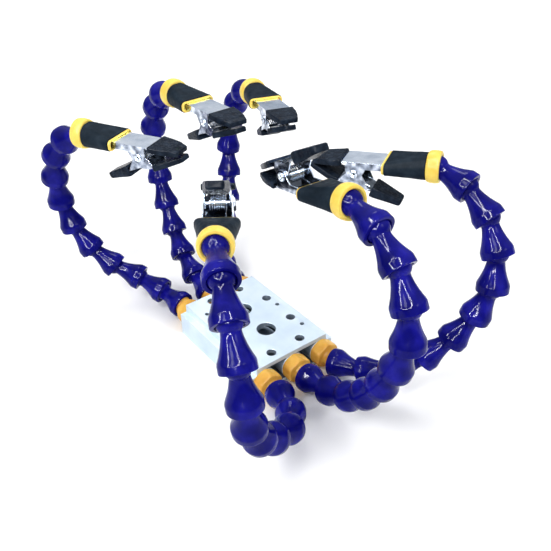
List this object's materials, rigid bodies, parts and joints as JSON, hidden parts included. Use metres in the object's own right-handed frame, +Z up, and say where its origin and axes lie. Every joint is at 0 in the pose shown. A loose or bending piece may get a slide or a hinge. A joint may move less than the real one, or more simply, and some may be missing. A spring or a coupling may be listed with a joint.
{
  "type": "helping hands clamp",
  "caption": "Bench helping hands: hollow aluminium base block with ball-and-socket gooseneck arms, each ending in a spring clip with rubber-booted jaws, for holding work while soldering.",
  "frame": {"origin": "centre of the underside of the base block", "axes": "+X along the extruded base towards the right-hand arms, +Y across it towards the back, +Z up"},
  "size_m": [0.2837, 0.1803, 0.1662],
  "materials": {
    "bare_aluminium": "satin, bead blasted",
    "orange_acetal": "moulded, light gloss",
    "blue_acetal": "high gloss",
    "yellow_acetal": "light gloss",
    "slate_sleeve": "matt shrink sleeve",
    "plated_steel": "bright plated",
    "dark_rubber": "satin dipped rubber"
  },
  "bodies": {
    "base": {"base_extrusion": "bare_aluminium", "left_connectors": "orange_acetal", "right_connectors": "orange_acetal"},
    "left_front_arm_root": {"left_front_lower_links": "blue_acetal"},
    "left_front_arm_middle": {"left_front_middle_links": "blue_acetal"},
    "left_front_arm_top": {"left_front_upper_links": "blue_acetal"},
    "left_front_clip_holder": {"left_front_nozzle": "yellow_acetal", "left_front_sleeve": "slate_sleeve", "left_front_clip_frame": "plated_steel", "left_front_upper_jaw_boot": "dark_rubber"},
    "left_front_clip_jaw": {"left_front_clip_lever": "plated_steel", "left_front_lever_boots": "dark_rubber"},
    "left_middle_arm_root": {"left_middle_lower_links": "blue_acetal"},
    "left_middle_arm_middle": {"left_middle_middle_links": "blue_acetal"},
    "left_middle_arm_top": {"left_middle_upper_links": "blue_acetal"},
    "left_middle_clip_holder": {"left_middle_nozzle": "yellow_acetal", "left_middle_sleeve": "slate_sleeve", "left_middle_clip_frame": "plated_steel", "left_middle_upper_jaw_boot": "dark_rubber"},
    "left_middle_clip_jaw": {"left_middle_clip_lever": "plated_steel", "left_middle_lever_boots": "dark_rubber"},
    "left_back_arm_root": {"left_back_lower_links": "blue_acetal"},
    "left_back_arm_middle": {"left_back_middle_links": "blue_acetal"},
    "left_back_arm_top": {"left_back_upper_links": "blue_acetal"},
    "left_back_clip_holder": {"left_back_nozzle": "yellow_acetal", "left_back_sleeve": "slate_sleeve", "left_back_clip_frame": "plated_steel", "left_back_upper_jaw_boot": "dark_rubber"},
    "left_back_clip_jaw": {"left_back_clip_lever": "plated_steel", "left_back_lever_boots": "dark_rubber"},
    "right_front_arm_root": {"right_front_lower_links": "blue_acetal"},
    "right_front_arm_middle": {"right_front_middle_links": "blue_acetal"},
    "right_front_arm_top": {"right_front_upper_links": "blue_acetal"},
    "right_front_clip_holder": {"right_front_nozzle": "yellow_acetal", "right_front_sleeve": "slate_sleeve", "right_front_clip_frame": "plated_steel", "right_front_upper_jaw_boot": "dark_rubber"},
    "right_front_clip_jaw": {"right_front_clip_lever": "plated_steel", "right_front_lever_boots": "dark_rubber"},
    "right_middle_arm_root": {"right_middle_lower_links": "blue_acetal"},
    "right_middle_arm_middle": {"right_middle_middle_links": "blue_acetal"},
    "right_middle_arm_top": {"right_middle_upper_links": "blue_acetal"},
    "right_middle_clip_holder": {"right_middle_nozzle": "yellow_acetal", "right_middle_sleeve": "slate_sleeve", "right_middle_clip_frame": "plated_steel", "right_middle_upper_jaw_boot": "dark_rubber"},
    "right_middle_clip_jaw": {"right_middle_clip_lever": "plated_steel", "right_middle_lever_boots": "dark_rubber"},
    "right_back_arm_root": {"right_back_lower_links": "blue_acetal"},
    "right_back_arm_middle": {"right_back_middle_links": "blue_acetal"},
    "right_back_arm_top": {"right_back_upper_links": "blue_acetal"},
    "right_back_clip_holder": {"right_back_nozzle": "yellow_acetal", "right_back_sleeve": "slate_sleeve", "right_back_clip_frame": "plated_steel", "right_back_upper_jaw_boot": "dark_rubber"},
    "right_back_clip_jaw": {"right_back_clip_lever": "plated_steel", "right_back_lever_boots": "dark_rubber"}
  },
  "joints": [
    {"name": "left_front_root_swing", "type": "hinge", "parent": "base", "child": "left_front_arm_root", "pos_m": [-0.056, -0.0225, 0.011], "axis": [0, 0, 1], "range_deg": [-12, 12]},
    {"name": "left_front_middle_lean", "type": "hinge", "parent": "left_front_arm_root", "child": "left_front_arm_middle", "pos_m": [-0.10694, -0.04584, 0.02656], "axis": [0.5468, -0.8303, -0.1076], "range_deg": [-3, 15]},
    {"name": "left_front_top_sway", "type": "hinge", "parent": "left_front_arm_middle", "child": "left_front_arm_top", "pos_m": [-0.13156, -0.0659, 0.07467], "axis": [0.8469, 0.5294, -0.05], "range_deg": [-8, 8]},
    {"name": "left_front_clip_tilt", "type": "hinge", "parent": "left_front_arm_top", "child": "left_front_clip_holder", "pos_m": [-0.09124, -0.05838, 0.13582], "axis": [0.4424, -0.853, -0.2768], "range_deg": [0, 25]},
    {"name": "left_front_jaw_open", "type": "hinge", "parent": "left_front_clip_holder", "child": "left_front_clip_jaw", "pos_m": [-0.05102, -0.03794, 0.1321], "axis": [-0.4531, 0.8914, 0], "range_deg": [0, 18], "stiffness_Nm_per_rad": 0.1, "springref_deg": -63.03},
    {"name": "left_middle_root_swing", "type": "hinge", "parent": "base", "child": "left_middle_arm_root", "pos_m": [-0.056, 0, 0.011], "axis": [0, 0, 1], "range_deg": [-12, 12]},
    {"name": "left_middle_middle_lean", "type": "hinge", "parent": "left_middle_arm_root", "child": "left_middle_arm_middle", "pos_m": [-0.10812, 0.00589, 0.03652], "axis": [-0.1325, -0.9904, 0.039], "range_deg": [-3, 15]},
    {"name": "left_middle_top_sway", "type": "hinge", "parent": "left_middle_arm_middle", "child": "left_middle_arm_top", "pos_m": [-0.13441, 0.01044, 0.08862], "axis": [0.9877, -0.1171, -0.1031], "range_deg": [-8, 8]},
    {"name": "left_middle_clip_tilt", "type": "hinge", "parent": "left_middle_arm_top", "child": "left_middle_clip_holder", "pos_m": [-0.09048, 0.00574, 0.14636], "axis": [0.0191, -0.9992, 0.0359], "range_deg": [-4, 25]},
    {"name": "left_middle_jaw_open", "type": "hinge", "parent": "left_middle_clip_holder", "child": "left_middle_clip_jaw", "pos_m": [-0.04535, 0.00666, 0.14283], "axis": [-0.0202, 0.9998, 0], "range_deg": [0, 18], "stiffness_Nm_per_rad": 0.1, "springref_deg": -63.03},
    {"name": "left_back_root_swing", "type": "hinge", "parent": "base", "child": "left_back_arm_root", "pos_m": [-0.056, 0.0225, 0.011], "axis": [0, 0, 1], "range_deg": [-12, 12]},
    {"name": "left_back_middle_lean", "type": "hinge", "parent": "left_back_arm_root", "child": "left_back_arm_middle", "pos_m": [-0.10354, 0.049, 0.02993], "axis": [-0.5969, -0.7899, 0.1405], "range_deg": [-3, 15]},
    {"name": "left_back_top_sway", "type": "hinge", "parent": "left_back_arm_middle", "child": "left_back_arm_top", "pos_m": [-0.12913, 0.07163, 0.07716], "axis": [0.8332, -0.5529, 0.0089], "range_deg": [-8, 8]},
    {"name": "left_back_clip_tilt", "type": "hinge", "parent": "left_back_arm_top", "child": "left_back_clip_holder", "pos_m": [-0.08715, 0.06561, 0.13481], "axis": [-0.3105, -0.87, 0.3831], "range_deg": [-4, 25]},
    {"name": "left_back_jaw_open", "type": "hinge", "parent": "left_back_clip_holder", "child": "left_back_clip_jaw", "pos_m": [-0.04405, 0.05182, 0.1334], "axis": [0.3048, 0.9524, 0], "range_deg": [0, 18], "stiffness_Nm_per_rad": 0.1, "springref_deg": -63.03},
    {"name": "right_front_root_swing", "type": "hinge", "parent": "base", "child": "right_front_arm_root", "pos_m": [0.056, -0.0225, 0.011], "axis": [0, 0, 1], "range_deg": [-6, 12]},
    {"name": "right_front_middle_lean", "type": "hinge", "parent": "right_front_arm_root", "child": "right_front_arm_middle", "pos_m": [0.09456, -0.05752, 0.03201], "axis": [0.7724, 0.593, 0.2273], "range_deg": [-3, 15]},
    {"name": "right_front_top_sway", "type": "hinge", "parent": "right_front_arm_middle", "child": "right_front_arm_top", "pos_m": [0.10667, -0.08264, 0.08268], "axis": [-0.6549, 0.7416, -0.1456], "range_deg": [-8, 8]},
    {"name": "right_front_clip_tilt", "type": "hinge", "parent": "right_front_arm_top", "child": "right_front_clip_holder", "pos_m": [0.05983, -0.06352, 0.1339], "axis": [0.4676, 0.7809, 0.4142], "range_deg": [-4, 25]},
    {"name": "right_front_jaw_open", "type": "hinge", "parent": "right_front_clip_holder", "child": "right_front_clip_jaw", "pos_m": [0.02287, -0.03746, 0.13156], "axis": [0.5763, 0.8173, 0], "range_deg": [0, 18], "stiffness_Nm_per_rad": 0.1, "springref_deg": -63.03},
    {"name": "right_middle_root_swing", "type": "hinge", "parent": "base", "child": "right_middle_arm_root", "pos_m": [0.056, 0, 0.011], "axis": [0, 0, 1], "range_deg": [-12, 12]},
    {"name": "right_middle_middle_lean", "type": "hinge", "parent": "right_middle_arm_root", "child": "right_middle_arm_middle", "pos_m": [0.10612, -0.00386, 0.03999], "axis": [0.083, 0.9962, 0.0257], "range_deg": [-3, 15]},
    {"name": "right_middle_top_sway", "type": "hinge", "parent": "right_middle_arm_middle", "child": "right_middle_arm_top", "pos_m": [0.13089, -0.00628, 0.09326], "axis": [-0.9881, 0.0669, -0.1386], "range_deg": [-8, 8]},
    {"name": "right_middle_clip_tilt", "type": "hinge", "parent": "right_middle_arm_top", "child": "right_middle_clip_holder", "pos_m": [0.08279, -0.00268, 0.14595], "axis": [0.0683, 0.9976, -0.0058], "range_deg": [-4, 25]},
    {"name": "right_middle_jaw_open", "type": "hinge", "parent": "right_middle_clip_holder", "child": "right_middle_clip_jaw", "pos_m": [0.03776, 0.00036, 0.1423], "axis": [0.0672, 0.9977, 0], "range_deg": [0, 18], "stiffness_Nm_per_rad": 0.1, "springref_deg": -63.03},
    {"name": "right_back_root_swing", "type": "hinge", "parent": "base", "child": "right_back_arm_root", "pos_m": [0.056, 0.0225, 0.011], "axis": [0, 0, 1], "range_deg": [-12, 8]},
    {"name": "right_back_middle_lean", "type": "hinge", "parent": "right_back_arm_root", "child": "right_back_arm_middle", "pos_m": [0.10081, 0.05025, 0.0332], "axis": [-0.634, 0.7486, -0.1941], "range_deg": [-3, 15]},
    {"name": "right_back_top_sway", "type": "hinge", "parent": "right_back_arm_middle", "child": "right_back_arm_top", "pos_m": [0.11914, 0.07462, 0.08293], "axis": [-0.776, -0.6293, -0.044], "range_deg": [-8, 8]},
    {"name": "right_back_clip_tilt", "type": "hinge", "parent": "right_back_arm_top", "child": "right_back_clip_holder", "pos_m": [0.06993, 0.07484, 0.13567], "axis": [-0.3602, 0.7325, -0.5777], "range_deg": [0, 25]},
    {"name": "right_back_jaw_open", "type": "hinge", "parent": "right_back_clip_holder", "child": "right_back_clip_jaw", "pos_m": [0.03145, 0.05276, 0.12663], "axis": [0.4978, -0.8673, 0], "range_deg": [0, 18], "stiffness_Nm_per_rad": 0.1, "springref_deg": -63.03}
  ]
}
